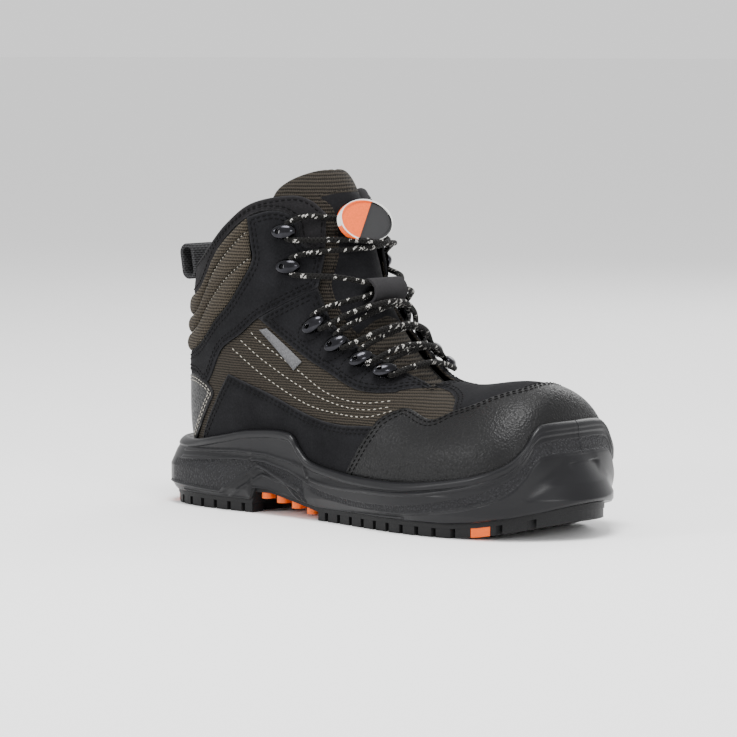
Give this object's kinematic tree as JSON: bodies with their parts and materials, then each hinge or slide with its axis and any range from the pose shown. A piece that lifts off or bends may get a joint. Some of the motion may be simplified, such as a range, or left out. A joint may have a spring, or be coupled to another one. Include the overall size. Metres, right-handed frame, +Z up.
{
  "type": "work boot",
  "caption": "Right steel toe work boot: ridged sole, layered leather and mesh upper, laced hinged tongue, lift-out footbed and a rear pull loop.",
  "frame": {"origin": "centre of the bounding box at floor level, under the sole", "axes": "+X to the toe, +Y to the medial (inner) side of this right boot, +Z up"},
  "size_m": [0.2956, 0.1122, 0.1932],
  "materials": {
    "rubber_black": "matt moulded rubber tread",
    "pu_black": "moulded polyurethane, satin with stippled panels",
    "pu_orange": "orange polyurethane",
    "leather_grain": "black pebble grain leather, semi-gloss",
    "nubuck": "charcoal nubuck, matt",
    "mesh_brown": "brown-grey ribbed mesh",
    "rib_knit": "brown-grey padded rib knit",
    "lining_black": "black lining",
    "foam_grey": "soft foam, hidden",
    "footbed_black": "fabric-topped foam footbed",
    "board": "fibre board, hidden",
    "plate_steel": "thin spring steel",
    "cap_steel": "pressed steel, painted, hidden",
    "counter_plastic": "thermoplastic stiffener, hidden",
    "badge_rubber": "moulded rubber badge in two colours with a white rim",
    "lace_black": "round braid, black with pale flecks",
    "aglet_plastic": "black sleeve",
    "tag_grey": "grey woven tag, blank",
    "webbing_black": "black webbing, orange inside",
    "gunmetal": "dark polished metal"
  },
  "bodies": {
    "boot": {"ankle_padding": "foam_grey", "ankle_strap_lateral": "nubuck", "ankle_strap_medial": "nubuck", "arch_bars": "pu_orange", "collar_rib_lower": "rib_knit", "collar_rib_middle": "rib_knit", "collar_rib_upper": "rib_knit", "collar_trim": "nubuck", "forefoot_insert": "pu_orange", "gusset_lateral": "mesh_brown", "gusset_medial": "mesh_brown", "heel_counter": "counter_plastic", "heel_insert": "pu_orange", "heel_patch": "leather_grain", "hook_rivets_lateral": "gunmetal", "hook_rivets_medial": "gunmetal", "insole_board": "board", "lace": "lace_black", "lace_hooks_lateral": "gunmetal", "lace_hooks_medial": "gunmetal", "lace_loops_lateral": "gunmetal", "lace_loops_medial": "gunmetal", "lining": "lining_black", "loop_rivets_lateral": "gunmetal", "loop_rivets_medial": "gunmetal", "midsole": "pu_black", "outsole": "rubber_black", "penetration_plate": "plate_steel", "quarter_mesh_lateral": "mesh_brown", "quarter_mesh_medial": "mesh_brown", "side_panel_lateral": "nubuck", "side_panel_medial": "nubuck", "toe_cap": "cap_steel", "toe_guard": "leather_grain", "tread_lugs": "rubber_black", "vamp": "nubuck", "woven_tag": "tag_grey"},
    "tongue": {"tongue_pad": "rib_knit", "tongue_leather": "nubuck", "tongue_badge": "badge_rubber", "lace_keeper": "nubuck", "lace_aglets": "aglet_plastic"},
    "footbed": {"footbed": "footbed_black"},
    "pull_loop": {"pull_loop": "webbing_black"}
  },
  "joints": [
    {"name": "tongue_tilt", "type": "hinge", "parent": "boot", "child": "tongue", "pos_m": [0.04386, 0.00242, 0.07], "axis": [0, 1, 0], "range_deg": [0, 20], "deforming": ["lace", "gusset_lateral", "gusset_medial"]},
    {"name": "footbed_lift", "type": "hinge", "parent": "boot", "child": "footbed", "pos_m": [0.11986, 0.00242, 0.024], "axis": [0, 1, 0], "range_deg": [0, 6]},
    {"name": "pull_loop_flip", "type": "hinge", "parent": "boot", "child": "pull_loop", "pos_m": [-0.13754, 0.00242, 0.1315], "axis": [0, -1, 0], "range_deg": [0, 70]}
  ]
}
